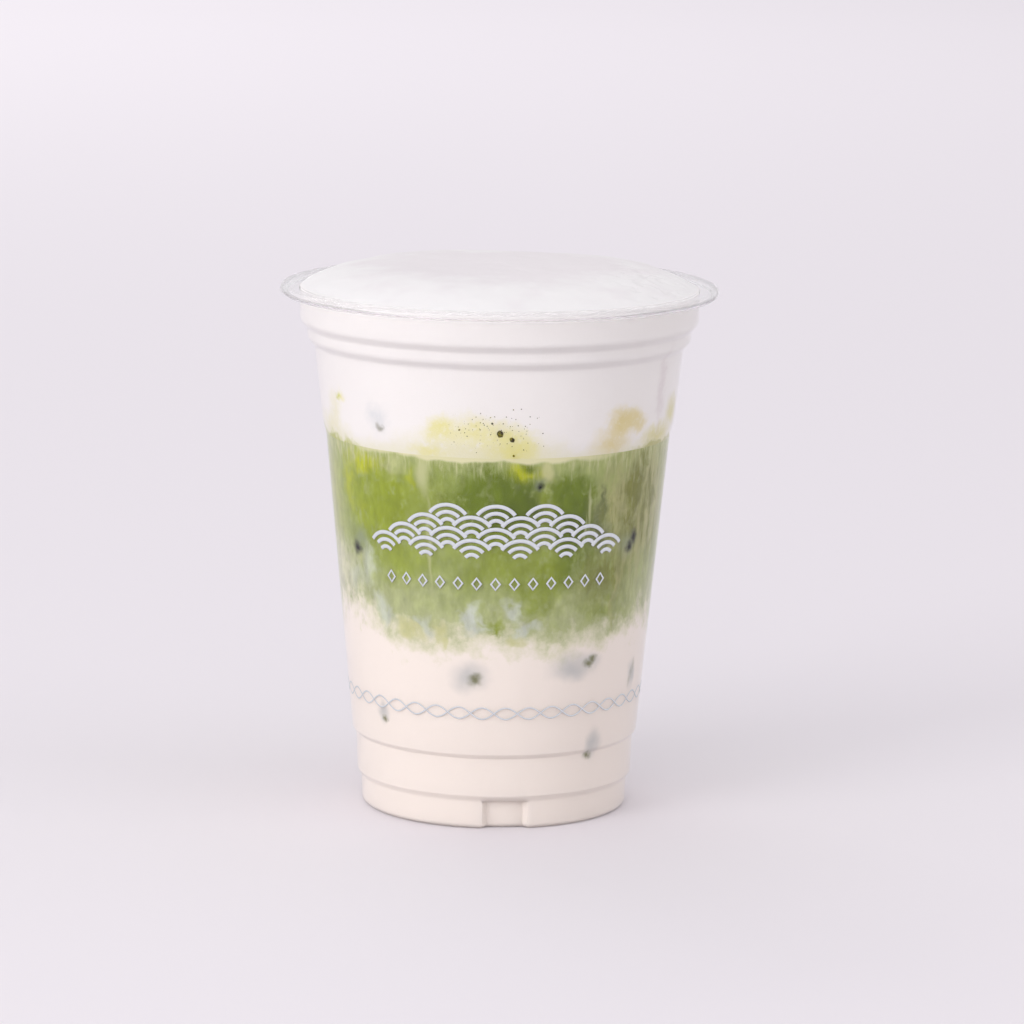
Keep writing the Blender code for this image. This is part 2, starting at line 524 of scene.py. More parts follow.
lathe = lathe_tree()
print("lathe tree of", len(lathe.nodes), "nodes")

# %% [markdown]
# ## The clear plastic
#
# Clear PET bends light about as much as glass does. A Principled shader with full transmission
# does this. The rolled rim was heated and bent, which leaves it a little milky, so the lip takes a
# share of a plain white shader and a rougher gloss. Light from the lamps should pass straight
# through to the drink, or the drink would be in the cup's shadow. A Light Path node swaps in a
# Transparent shader for those rays alone.

# %% The cup
PLASTIC_IOR = 1.5
WALL_GLOSS = 0.03
RIM_GLOSS = 0.12
MILKY_FROM = RIM_TOP - 1.6
MILKY_TO = RIM_TOP - 0.8
RIM_MILKINESS = 0.1
RIM_ALPHA = 0.3
PLASTIC_TINT = (0.985, 0.985, 0.99)
RIM_WHITE = (0.93, 0.92, 0.93)


def mixed(factor, first, second):
    """A Mix Shader that goes from the first shader to the second as the factor goes from 0 to 1."""
    return factor.node("ShaderNodeMixShader", None, {"Fac": factor, 1: first, 2: second})


def clear_plastic_finish():
    """Clear pressed sheet, milky along the rolled rim."""
    material, shader, start = new_material("clear_plastic")
    height = start.node("ShaderNodeTexCoord", output="Object").parts()[2]
    at_rim = height.step(MILKY_FROM * MM, MILKY_TO * MM)
    join(
        shader,
        Base_Color=(*PLASTIC_TINT, 1),
        Roughness=at_rim * (RIM_GLOSS - WALL_GLOSS) + WALL_GLOSS,
        IOR=PLASTIC_IOR,
        Transmission_Weight=1.0,
        Alpha=1 - at_rim * (1 - RIM_ALPHA),
    )
    clear = Wire(start.tree, shader.outputs["BSDF"])
    white = start.node("ShaderNodeBsdfDiffuse", None, {"Color": (*RIM_WHITE, 1)})
    sheet = mixed(at_rim * RIM_MILKINESS, clear, white)
    to_lamp = start.node("ShaderNodeLightPath", output="Is Shadow Ray")
    whole = mixed(to_lamp, sheet, start.node("ShaderNodeBsdfTransparent"))
    start.tree.links.new(whole.socket, start.tree.nodes["Material Output"].inputs["Surface"])
    return material


def make_cup():
    """The pressed cup: both skins, the flat lip and the rolled bead, in one closed sheet."""
    skin = bead_line() + outer_skin
    section = inset(skin, SHEET)[::-1] + skin
    return turned("clear_cup", section, clear_plastic_finish())


cup = make_cup()

# %% [markdown]
# ## Reading the drink's colours off the photograph
#
# A colour picker reads more than the drink's own colour. The drink touches the plastic, so part
# of the light that it sends out is thrown back in by the outer surface and the drink looks
# deeper. The light also falls off from left to right, and near the outline of the cup the plastic
# mirrors the pale room. The measured table below holds the light and that shine at some angles
# round the cup, and `own_colour` takes both off a picked colour again.

# %% Own colours
# angle from the front in degrees, the light there and the shine of the plastic
LIGHT_ROUND_THE_CUP = [
    (-72, 0.80, 0.26),
    (-60, 1.00, 0.11),
    (-45, 1.07, 0.07),
    (-25, 1.07, 0.05),
    (0, 1.00, 0.04),
    (25, 0.88, 0.045),
    (50, 0.76, 0.065),
    (60, 0.70, 0.11),
    (72, 0.56, 0.26),
]
WALL_PASSES = 0.62
WALL_RETURNS = 0.34
DARKEST = 0.002
PALEST = 0.96


def light_at(angle):
    """The light and the shine at an angle, between the measured ones."""
    for before, after in zip(LIGHT_ROUND_THE_CUP, LIGHT_ROUND_THE_CUP[1:]):
        if before[0] <= angle <= after[0]:
            share = (angle - before[0]) / (after[0] - before[0])
            return [a + (b - a) * share for a, b in zip(before[1:], after[1:])]
    raise ValueError(angle)


def own_colour(red, green, blue, angle=0):
    """The own colour of what shows as the picked colour behind the wall at an angle."""
    light, shine = light_at(angle)
    seen = [max(0, value - shine) / light for value in light_of(red, green, blue)]
    own = [value / (WALL_PASSES + WALL_RETURNS * value) for value in seen]
    return tuple(min(PALEST, max(DARKEST, value)) for value in own)


MILK = own_colour(243, 230, 221, 8)
MILKY_GREEN = own_colour(220, 214, 190, 8)
LOW_GREEN = own_colour(178, 183, 138)
MID_GREEN = own_colour(158, 168, 108)
DRIPS = own_colour(200, 202, 152, -32)
BLOOM = own_colour(157, 169, 84, -47)
BLOOM_EDGE = own_colour(194, 199, 80, -47)
VIVID = own_colour(172, 178, 12, 8)
OLIVE = own_colour(138, 150, 68, -5)
DEEP = own_colour(110, 125, 48)
DARK = own_colour(98, 111, 42, 8)
SAGE = own_colour(186, 190, 130, -60)
GREY_GREEN = own_colour(113, 118, 87, 37)
MOSS = own_colour(122, 124, 84, 52)
STRAW = own_colour(160, 158, 118, 50)
COLD_WHITE = own_colour(203, 207, 198, -8)
SAND = own_colour(206, 204, 150, -20)
print("milk", [round(c, 2) for c in MILK], "deep green", [round(c, 3) for c in DEEP])

# %% [markdown]
# ## Clouds
#
# Matcha sinks into milk as clouds with soft edges, drags pale streaks down the wall and leaves
# milky gaps. Each cloud is a soft patch drawn on a map of the wall, where one axis is the angle
# and the other the height. Noise pushes the place about before the map is read. The third axis
# of the map holds noise too, which counts as distance and frays the edge, so none of the patches
# is a neat oval. All of it starts from Object coordinates, so the clouds stay where they are from
# any side.

# %% Soft patches on a map of the wall
def millimetres(start):
    """The Object coordinates, in millimetres."""
    place = start.node("ShaderNodeTexCoord", output="Object")
    return place.vector("MULTIPLY", place, (1 / MM,) * 3)


def wall_map(place, fray=0):
    """Angle from the front in degrees, positive to the right, height in millimetres, and fray."""
    x, y, height = place.parts()
    angle = x.maths("ARCTAN2", x, y * -1) * math.degrees(1)
    return place.node("ShaderNodeCombineXYZ", None, {"X": angle, "Y": height, "Z": fray})


def patch(wall, angle, height, half_width, half_height, softness):
    """A mask that is 1 in the middle of an oval on the wall and falls to 0 at its edge."""
    shares = (1 / half_width, 1 / half_height, 1)
    back = (-angle / half_width, -height / half_height, 0)
    away = wall.vector("MULTIPLY_ADD", wall, shares, back)
    distance = away.vector("LENGTH", away, output="Value")
    return distance.step(1, 1 - softness)


def blend(mask, under, over):
    """A colour that goes from under to over as the mask goes from 0 to 1."""
    sockets = {0: mask, 6: under, 7: over}
    for key in (6, 7):
        if not isinstance(sockets[key], Wire):
            sockets[key] = (*sockets[key], 1)
    return mask.node("ShaderNodeMix", {"data_type": "RGBA"}, sockets, 2)


def grain(place, size, detail=3, rough=0.55, stretch=1.0):
    """Noise from 0 to 1 with features of about a size in millimetres, stretched upwards."""
    shares = (1 / size, 1 / size, 1 / (size * stretch))
    scaled = place.vector("MULTIPLY", place, shares)
    inputs = {"Vector": scaled, "Scale": 1, "Detail": detail, "Roughness": rough}
    return place.node("ShaderNodeTexNoise", None, inputs)


def stirred(place, size, amount):
    """The place pushed about by noise, so that what is drawn there comes out ragged."""
    scaled = place.vector("MULTIPLY", place, (1 / size,) * 3)
    inputs = {"Vector": scaled, "Scale": 1, "Detail": 2}
    push = place.node("ShaderNodeTexNoise", None, inputs, "Color")
    centred = place.vector("SUBTRACT", push, (0.5, 0.5, 0.5))
    return place.vector("MULTIPLY_ADD", centred, (amount,) * 3, place)


def laid_over(colour, wall, patches):
    """A colour with soft patches of other colours laid over it, one after the other."""
    for tint, angle, height, half_width, half_height, softness, strength in patches:
        mask = patch(wall, angle, height, half_width, half_height, softness) * strength
        colour = blend(mask, colour, tint)
    return colour


def largest(masks):
    """The larger of some masks at each point."""
    most = masks[0]
    for mask in masks[1:]:
        most = most.maths("MAXIMUM", most, mask)
    return most


degree = math.radians(1) * radius_at(outer_skin, 60)
print("at 60 mm a degree of the wall map is", round(degree, 2), "mm wide")

# %% The clouds, from back to front
# colour, angle, height, half width, half height, softness, strength
CLOUDS = [
    (SAGE, -76, 72, 16, 22, 1.0, 0.95),
    (MILKY_GREEN, -72, 56, 20, 12, 1.0, 0.7),
    (OLIVE, -20, 72, 16, 16, 0.9, 0.7),
    (BLOOM, -46, 73.5, 25, 14, 0.6, 0.95),
    (OLIVE, -34, 72, 12, 10, 1.0, 0.6),
    (BLOOM_EDGE, -50, 82.0, 15, 3.2, 1.0, 0.95),
    (BLOOM_EDGE, -60, 76, 5, 9, 1.0, 0.7),
    (DRIPS, -37, 82, 6, 4.6, 0.9, 0.7),
    (VIVID, -29.6, 79, 2.6, 5, 1.0, 0.6),
    (SAND, -57, 84, 2.4, 4.0, 0.8, 0.8),
    (SAND, -65, 82.5, 2.0, 4.6, 0.8, 0.8),
    (OLIVE, -69, 84.6, 4.6, 2.6, 0.7, 0.9),
    (VIVID, -53.5, 69.8, 6, 3.4, 1.0, 0.35),
    (BLOOM, -38, 61, 20, 11, 0.8, 0.7),
    (LOW_GREEN, -37, 52, 18, 7, 0.9, 0.7),
    (COLD_WHITE, -51.5, 58.5, 6.2, 9, 0.8, 0.6),
    (COLD_WHITE, -60, 54.5, 10, 5, 0.9, 0.45),
    (SAND, -57, 60, 4.2, 2.2, 0.9, 0.5),
    (LOW_GREEN, -54, 49.5, 5, 5, 0.9, 0.8),
    (DEEP, 0, 74.5, 23, 13, 0.6, 0.95),
    (DARK, 8, 75, 13, 11, 0.9, 0.85),
    (OLIVE, 0, 66, 24, 6, 0.9, 0.8),
    (OLIVE, 0, 60, 24, 8, 0.9, 0.75),
    (OLIVE, 17, 74, 5, 9, 0.8, 0.8),
    (OLIVE, 20, 59, 20, 11, 0.9, 0.9),
    (DEEP, 28, 60, 12, 7, 1.0, 0.7),
    (MID_GREEN, -4, 53.5, 16, 6, 1.0, 0.5),
    (OLIVE, 15, 53, 14, 6, 1.0, 0.6),
    (DEEP, 26, 72.5, 10.5, 12.5, 0.45, 0.95),
    (DARK, 29, 70, 7, 9.5, 0.8, 0.85),
    (STRAW, 58, 72, 30, 18, 0.6, 0.9),
    (GREY_GREEN, 37, 68.5, 6.2, 9.5, 0.7, 0.95),
    (GREY_GREEN, 37.8, 75, 2.2, 5.4, 0.8, 0.85),
    (MOSS, 52.5, 76.5, 8.6, 9.2, 0.7, 0.95),
    (MOSS, 54, 68, 10, 7.4, 0.9, 0.9),
    (MOSS, 61.3, 70, 4.2, 10.5, 0.9, 0.8),
    (MOSS, 60, 83, 2.8, 3.2, 0.8, 0.8),
    (MOSS, 67, 73.3, 4.2, 4.1, 0.8, 0.8),
    (MOSS, 42, 56.5, 20, 9, 0.9, 0.8),
    (OLIVE, 44, 49.5, 17, 5.5, 1.0, 0.65),
    (STRAW, 47.8, 54, 2.6, 13, 0.9, 0.7),
    (STRAW, 55, 62, 8.4, 5.0, 0.8, 0.6),
    (COLD_WHITE, -8, 48, 7, 5.2, 0.7, 0.9),
    (COLD_WHITE, 5.5, 51, 5, 4, 0.8, 0.8),
    (COLD_WHITE, 11.5, 46.4, 6.4, 3.6, 0.8, 0.85),
    (COLD_WHITE, -44, 48.6, 7, 4, 0.8, 0.7),
    (COLD_WHITE, -27, 46.6, 5.6, 3.0, 0.8, 0.7),
    (OLIVE, -0.4, 46.6, 3.6, 3.8, 0.7, 0.9),
    (SAND, -21, 44.2, 4.4, 3.6, 0.8, 0.9),
    (SAND, -33, 45.0, 6.0, 3.2, 0.8, 0.85),
    (SAND, 9, 43.4, 4.6, 2.6, 0.8, 0.8),
    (MID_GREEN, 20, 45, 9, 4, 0.9, 0.6),
    (VIVID, 7.4, 82.4, 6.4, 3.2, 0.6, 0.95),
    (VIVID, 13, 80.4, 3.0, 2.0, 0.8, 0.7),
    (DARK, 9.6, 83.4, 3.4, 1.3, 0.6, 0.9),
    (BLOOM, -150, 75, 22, 13, 0.6, 0.9),
    (BLOOM_EDGE, -148, 82, 13, 3.2, 1.0, 0.8),
    (DEEP, -112, 72, 19, 14, 0.5, 0.9),
    (DARK, -108, 72, 11, 11, 0.9, 0.8),
    (DEEP, 150, 72, 24, 14, 0.5, 0.9),
    (DARK, 154, 74, 12, 10, 0.9, 0.8),
    (MOSS, 112, 73, 17, 13, 0.6, 0.8),
    (OLIVE, 124, 58, 23, 10, 0.9, 0.8),
    (OLIVE, -130, 57, 32, 10, 1.0, 0.7),
    (COLD_WHITE, -95, 56, 8, 8, 0.8, 0.8),
    (COLD_WHITE, 160, 48, 9, 4.5, 0.8, 0.8),
    (COLD_WHITE, -140, 48, 8, 4.5, 0.8, 0.8),
    (SAND, 104, 45, 8, 3.4, 0.8, 0.8),
    (SAND, -120, 44.5, 8, 3.4, 0.8, 0.8),
]
print(len(CLOUDS), "clouds")

# %% [markdown]
# ## Ice against the wall
#
# The ice cubes lie sunk in the drink, and only where a corner presses against the plastic does it
# show, as a small dark spot. Round it the milk is thin over the rest of the cube, which gives a
# cold grey halo to one side.

# %% Ice spots
ICE_DARK = own_colour(48, 48, 50, 30)
ICE_IN_MILK = own_colour(120, 120, 92)
HALO_IN_MILK = own_colour(188, 187, 186)
HALO_IN_GREEN = own_colour(150, 158, 134, -40)

# angle, height, half width and half height of each dark spot
SPOTS_IN_GREEN = [
    (54.2, 62.8, 3.4, 2.3),
    (56.0, 64.8, 2.8, 2.9),
    (-57.6, 61.4, 4.2, 2.3),
    (14.6, 78.6, 2.4, 1.5),
    (128, 71.0, 4.0, 2.8),
    (-122, 59.0, 4.0, 2.3),
    (168, 60.0, 3.4, 2.6),
    (-158, 76.0, 2.4, 1.7),
]
SPOTS_IN_MILK = [
    (-7.4, 34.7, 4.0, 2.1),
    (37.6, 37.5, 3.6, 1.5),
    (39.2, 38.3, 2.8, 1.5),
    (-47.9, 23.3, 2.2, 1.2),
    (41.7, 15.7, 3.0, 1.5),
    (108, 30.0, 3.6, 2.2),
    (-160, 24.0, 3.2, 1.8),
    (-100, 35.0, 3.4, 2.1),
]
FAINT_SPOTS = [(63.6, 31.2, 1.6, 2.6), (65.0, 32.8, 1.6, 2.6), (66.4, 34.4, 1.6, 2.6)]
HALOS_IN_MILK = [
    (-9, 35.6, 10, 5.0),
    (31, 36.8, 14, 4.4),
    (38, 37.6, 7, 3.4),
    (-48.5, 24.4, 4.6, 3.0),
    (43, 18.6, 5.0, 5.0),
    (65, 32.6, 4.4, 5.0),
    (106, 31, 10, 5.2),
    (-157, 26, 9, 4.6),
    (-103, 36, 9, 5.0),
]
HALOS_IN_GREEN = [
    (52.6, 63.4, 7.0, 4.6),
    (-55, 63.4, 6.8, 4.4),
    (14.6, 79.0, 3.2, 2.4),
    (126, 72, 8, 5.2),
    (-119, 60, 8, 5.2),
    (166, 61, 8, 5.2),
]
print(len(SPOTS_IN_GREEN) + len(SPOTS_IN_MILK), "dark spots")

# %% [markdown]
# ## The drink's finish
#
# Milk and matcha share one finish. It is built in coats, as a painter would: a ramp from milk to
# green by height, the clouds, the veins, the drips that hang under the foam and the long streaks
# on the right, what lies right under the ledge, and the ice last.

# %% Milk, clouds and streaks
LEDGE_LINE = 84.6
DRIP_LENGTH = 16
FOAM_FOOT = own_colour(226, 220, 178)

# height as a share of 100 mm, colour
MILK_TO_GREEN = [
    (0.385, MILK),
    (0.425, MILKY_GREEN),
    (0.47, LOW_GREEN),
    (0.58, MID_GREEN),
    (0.85, MID_GREEN),
]

# where the border rises: angle, height, half width, half height, softness, rise in millimetres
RISES = [(-66, 50, 38, 40, 1.0, 6.5), (66, 50, 26, 40, 1.0, 4)]

# long pale drips: angle, height, half width, half height, softness, strength
LONG_DRIPS = [
    (-24.6, 81, 3.4, 7.5, 0.9, 0.95),
    (-23.4, 66, 1.1, 18, 1.0, 0.75),
    (32.8, 73, 0.9, 8.5, 0.9, 0.8),
    (31.6, 68, 0.8, 4.5, 0.9, 0.8),
]

# the streaky right side and the unmixed matcha: angle, height, half width, half height, softness
RIGHT_SIDE = (58, 72, 30, 26, 0.7)
UNMIXED = (7.4, 82.2, 7.0, 3.6, 1.0)

# what goes on before the unmixed matcha and after it, with the same columns as the clouds
MILKY_GAP = [(SAND, 17.4, 82.0, 3.6, 3.6, 0.7, 0.85)]
AT_THE_LEDGE = [(DARK, 10.4, 83.0, 5.0, 1.7, 1.0, 0.8), (FOAM_FOOT, -6, 85.4, 60, 1.7, 0.5, 1.0)]


def milk_to_green(place, wall):
    """The first coat: milk below, green above, with a ragged border that rises to both sides."""
    height = wall.parts()[1]
    left, right = [patch(wall, *oval) * most for *oval, most in RISES]
    ragged = (grain(place, size=3.5, detail=5, rough=0.65) - 0.5) * 15
    share = (height + ragged - (left + right)) / 100
    return share.node("ShaderNodeValToRGB", {"stops": MILK_TO_GREEN}, {"Fac": share})


def marbled(colour, place, in_green):
    """Small pale and dark veins in the green, as where milk is not yet stirred in."""
    veins = grain(stirred(place, size=4, amount=7), size=5, detail=5, rough=0.58, stretch=1.6)
    colour = blend(veins.step(0.52, 0.72) * in_green * 0.3, colour, LOW_GREEN)
    shade = (grain(place, size=2.2, detail=4, rough=0.6, stretch=2.0) - 0.5) * in_green * 0.8
    shade = shade + (1 - in_green * 0.03)
    return colour.node("ShaderNodeVectorMath", {"operation": "SCALE"}, {0: colour, "Scale": shade})


def add_streaks(colour, place, wall):
    """Fine pale drips under the ledge, and long streaks down the right side."""
    height = place.parts()[2]
    lengths = grain(place, size=1.3, detail=4, rough=0.7, stretch=60) * DRIP_LENGTH
    drips = (height + lengths - LEDGE_LINE).step(3.5, 8.5)
    threads = grain(place, size=0.55, detail=4, rough=0.7, stretch=12).step(0.42, 0.6)
    colour = blend(drips * (threads * 0.7 + 0.2), colour, DRIPS)
    right = patch(wall, *RIGHT_SIDE)
    wide = grain(place, size=2.2, detail=5, rough=0.7, stretch=6)
    colour = blend(right * wide.step(0.5, 0.64) * 0.8, colour, STRAW)
    colour = blend(right * wide.step(0.5, 0.36) * 0.8, colour, MOSS)
    long_drips = [patch(wall, *oval) * strength for *oval, strength in LONG_DRIPS]
    colour = blend(largest(long_drips), colour, DRIPS)
    return colour, threads


def under_the_ledge(colour, wall, threads):
    """A milky gap, the bright unmixed matcha beside it, and the foam's foot against the wall."""
    colour = laid_over(colour, wall, MILKY_GAP)
    bright = patch(wall, *UNMIXED) * (threads * 0.4 + 0.6)
    colour = blend(bright, colour, VIVID)
    return laid_over(colour, wall, AT_THE_LEDGE)


print(len(LONG_DRIPS), "long drips and", len(MILK_TO_GREEN), "colours from milk to green")

# %% The drink's finish
DRINK_IOR = 1.34


def add_ice(colour, neat, soft):
    """Grey halos, then the dark spots."""
    for wall, tint, ovals, strength in (
        (soft, HALO_IN_MILK, HALOS_IN_MILK, 0.8),
        (soft, HALO_IN_GREEN, HALOS_IN_GREEN, 0.75),
        (neat, ICE_IN_MILK, FAINT_SPOTS, 0.3),
        (neat, ICE_IN_MILK, SPOTS_IN_MILK, 0.95),
        (neat, ICE_DARK, SPOTS_IN_GREEN, 1.0),
    ):
        mask = largest([patch(wall, *oval, 1.0) for oval in ovals]) * strength
        colour = blend(mask, colour, tint)
    return colour


def drink_finish():
    """Milk below, matcha above, stirred into each other, with ice behind the wall."""
    material, shader, start = new_material("matcha_milk")
    place = millimetres(start)
    fray = (grain(place, size=2.2, detail=5, rough=0.62, stretch=1.5) - 0.5) * 3.2
    pushed = stirred(place, size=7, amount=9)
    ragged = wall_map(stirred(pushed, size=2.2, amount=3.4), fray)
    thready = wall_map(stirred(place, size=9, amount=4))
    neat = wall_map(stirred(place, size=1.6, amount=1.6))
    soft = wall_map(stirred(place, size=5, amount=4))
    in_green = ragged.parts()[1].step(41, 50)
    colour = milk_to_green(place, ragged)
    colour = laid_over(colour, ragged, CLOUDS)
    colour = marbled(colour, place, in_green)
    colour, threads = add_streaks(colour, place, thready)
    colour = under_the_ledge(colour, thready, threads)
    colour = add_ice(colour, neat, soft)
    join(shader, Base_Color=colour, Roughness=0.4, IOR=DRINK_IOR, Specular_IOR_Level=0.1)
    return material


drink = drink_finish()
print("drink finish of", len(drink.node_tree.nodes), "nodes")

# %% [markdown]
# ## Milk and matcha
#
# The two layers share one finish, so no line shows where they meet and the green fades into the
# milk as it does in the cup. The solids still meet on a wavy surface. Away from the wall it is
# drawn a little apart, so that no two faces lie in the same place.

# %% Milk and matcha
MILK_TOP = 43.5
SWELL = 1.2
PARTING = 0.3


def swell(x, y):
    """How far the top of the milk stands above or below its mean height, in millimetres."""
    angle = math.atan2(y, x)
    out = min(1.0, math.hypot(x, y) / 30)
    return SWELL * out * (0.6 * math.sin(2 * angle + 0.6) + 0.4 * math.sin(5 * angle + 2.0))


def wave(piece, height):
    """Lifts the vertices at a height into the wavy surface, along the leaning wall."""
    for vertex in piece.data.vertices:
        if abs(vertex.co.z / MM - height) < PARTING + 0.1:
            rise = swell(vertex.co.x / MM, vertex.co.y / MM)
            wider = 1 + rise * wall_slope / radius_at(drink_side, height)
            vertex.co = Vector((vertex.co.x * wider, vertex.co.y * wider, vertex.co.z + rise * MM))


def make_milk():
    """The milk, from the hollow of the foot up to the wavy surface."""
    side = [p for p in drink_side if p.y < MILK_TOP]
    edge = between(drink_side, MILK_TOP, WALL_FOOT[1])[0]
    middle = Vector((0, MILK_TOP - PARTING))
    milk = turned("milk_layer", [middle, edge.lerp(middle, 0.4), edge, *side], drink)
    wave(milk, MILK_TOP)
    return milk


def make_matcha():
    """The matcha milk, from the wavy surface up to the ledge in the wall."""
    side = between(drink_side, LEDGE_HEIGHT, MILK_TOP)
    top, bottom = Vector((0, LEDGE_HEIGHT - PARTING)), Vector((0, MILK_TOP + PARTING))
    line = [top, *side, side[-1].lerp(bottom, 0.4), bottom]
    matcha = turned("matcha_layer", line, drink)
    wave(matcha, MILK_TOP)
    return matcha


milk = make_milk()
matcha = make_matcha()

# %% [markdown]
# ## The foam
#
# Milk foam is a dense froth of bubbles too small to see. It stands over the rim with a rounded
# edge and a nearly flat top, and its skin has low waves, a fold and a few burst bubbles near the
# right edge. The big waves are real relief in the mesh, moved point by point, and only the finest
# grain is bump in the finish. The top is painted a shade darker than the side behind the wall, with
# a lit ring near the rim and painted shade in its middle. Matcha has crept up into the side in
# yellow stains, and a soft dark strip down its right side is a painted reflection.

# %% The foam's finish
FOAM_SIDE = own_colour(243, 238, 236)
WARM_FOAM = own_colour(238, 230, 226)
# The top's two colours are painted light and shade, both a little darker than the foam's side.
FOAM_TOP_LIT_RING = light_of(241, 239, 239)
FOAM_SHADE = light_of(235, 230, 232)
STAIN = own_colour(232, 224, 146, -15)
RIGHT_STAIN = own_colour(203, 188, 140, 44)
GREEN_STAIN = own_colour(196, 190, 142, 65)
CREAM = own_colour(233, 227, 186, -15)
COLD_FOAM = own_colour(226, 226, 228, -40)
SPOT_IN_FOAM = own_colour(160, 158, 146, -40)
PAINTED_DARK_REFLECTION = own_colour(196, 186, 188, 63)
GREEN_EDGE = own_colour(184, 189, 110, -60)
GREEN_EDGE_RIGHT = own_colour(168, 166, 122, 60)
WALL_LINE = 117.2
BRIGHT_FROM = 42
SHADED_MIDDLE_TO = 20
SHADE_BORDER_DRIFT = 44
FROTH_SIZE = 0.5
FROTH_DEPTH = 0.2

# colour, angle, height, half width, half height, softness, strength
FOAM_STAINS_AND_REFLECTION = [
    (CREAM, -8, 87.0, 36, 6.5, 1.0, 0.8),
    (CREAM, 6, 86.0, 14, 4.6, 0.8, 0.9),
    (STAIN, -19, 90.8, 8, 3.8, 1.0, 0.9),
    (STAIN, -8, 91.4, 13, 4.4, 1.0, 0.75),
    (STAIN, 3, 89.6, 12, 4.4, 1.0, 0.85),
    (STAIN, 6, 86.0, 10, 3.0, 0.9, 0.9),
    (STAIN, -22, 86.0, 9, 2.4, 1.0, 0.7),
    (CREAM, -70, 87.4, 20, 4.6, 1.0, 0.7),
    (STAIN, -60, 95.4, 4.6, 2.4, 1.0, 0.8),
    (CREAM, -65, 92, 7, 6, 1.0, 0.6),
    (BLOOM_EDGE, -61.6, 95.2, 2.8, 2.0, 1.0, 0.6),
    (RIGHT_STAIN, 44, 92.0, 10, 4.6, 0.9, 0.95),
    (RIGHT_STAIN, 50, 91.6, 7.0, 3.6, 1.0, 0.8),
    (RIGHT_STAIN, 40, 87.6, 11, 5.4, 1.0, 0.85),
    (GREEN_STAIN, 76, 91.8, 11, 4.6, 1.0, 0.8),
    (GREEN_STAIN, 64, 87.4, 16, 3.6, 1.0, 0.8),
    (CREAM, 128, 88, 36, 6.4, 1.0, 0.7),
    (STAIN, 122, 91.4, 12, 4.6, 1.0, 0.8),
    (CREAM, -128, 88, 36, 6.4, 1.0, 0.7),
    (STAIN, -140, 91, 13, 4.4, 1.0, 0.8),
    (STAIN, 160, 90, 12, 4.0, 1.0, 0.7),
    (COLD_FOAM, -42, 92.0, 7.0, 4.8, 1.0, 0.8),
    (SPOT_IN_FOAM, -40.6, 90.0, 2.2, 1.4, 0.9, 0.9),
    # a painted dark reflection: a soft vertical strip down the foam's right side
    (PAINTED_DARK_REFLECTION, 63, 98, 3.2, 15, 1.0, 0.5),
    (GREEN_EDGE, -72, 84.6, 26, 2.6, 0.6, 0.9),
    (GREEN_EDGE_RIGHT, 70, 84.6, 26, 2.2, 0.6, 0.9),
]


def foam_finish():
    """White froth stained by matcha behind the wall, painted shade on top and a painted reflection.
    """
    material, shader, start = new_material("milk_foam")
    place = millimetres(start)
    fray = (grain(place, size=1.6, detail=5, rough=0.65) - 0.5) * 2.6
    pushed = stirred(place, size=5, amount=5)
    wall = wall_map(stirred(pushed, size=1.5, amount=2), fray)
    colour = blend(grain(place, size=5) * 0.3, FOAM_SIDE, WARM_FOAM)
    foot = wall.parts()[1].step(88.5, 84.5)
    colour = blend(foot * 0.4, colour, CREAM)
    colour = laid_over(colour, wall, FOAM_STAINS_AND_REFLECTION)
    level = place.vector("MULTIPLY", place, (1, 1, 0))
    from_middle = level.vector("LENGTH", level, output="Value")
    drift = (grain(place, size=10, detail=2, rough=0.6) - 0.5) * SHADE_BORDER_DRIFT
    # Painted light and shade on the top: a lit ring near the rim, painted shade in the middle.
    skin = blend((from_middle + drift).step(BRIGHT_FROM, SHADED_MIDDLE_TO), FOAM_TOP_LIT_RING, FOAM_SHADE)
    on_top = place.parts()[2].step(WALL_LINE, WALL_LINE + 0.5)
    colour = blend(on_top, colour, skin)
    froth = grain(place, FROTH_SIZE, detail=2, rough=0.7)
    bump = {"Height": froth, "Strength": 0.2, "Distance": FROTH_DEPTH * MM}
    join(
        shader,
        Base_Color=colour,
        Roughness=0.75,
        IOR=DRINK_IOR,
        Specular_IOR_Level=0.2,
        Normal=start.node("ShaderNodeBump", None, bump),
    )
    return material


foam_skin = foam_finish()
print("foam finish with", len(FOAM_STAINS_AND_REFLECTION), "stains")

# %% The foam
FOAM_EDGE = 117.3
FOAM_RISE = 5.5
FOAM_SQUARENESS = 5
FOAM_RINGS = 64
FOAM_UNEVENNESS = 0.25
FOAM_GRAIN = 0.16
FOAM_FOLDS = 0.12
DENT_DEPTH = 2.0
HELD_EDGE = 1.5


def foam_relief(x, y):
    """How far the foam's skin stands above or below its smooth mound, in millimetres."""
    waves = math.sin(x / 9 + 0.8) * math.cos(y / 11 - 0.4) + math.sin((x - y) / 14)
    fine = noise.fractal(Vector((x, y, 0)) / 7, 0.7, 2.0, 4) * FOAM_GRAIN
    fine += noise.fractal(Vector((x + 40, y * 1.6, 5)) / 16, 0.8, 2.0, 3) * FOAM_FOLDS
    dents = max(0, noise.noise(Vector((x, y, 9)) / 2.1) - 0.12)
    right_edge = math.exp(-(((x - 33) / 9) ** 2 + ((y + 14) / 16) ** 2))
    return FOAM_UNEVENNESS * waves + fine - DENT_DEPTH * dents * right_edge


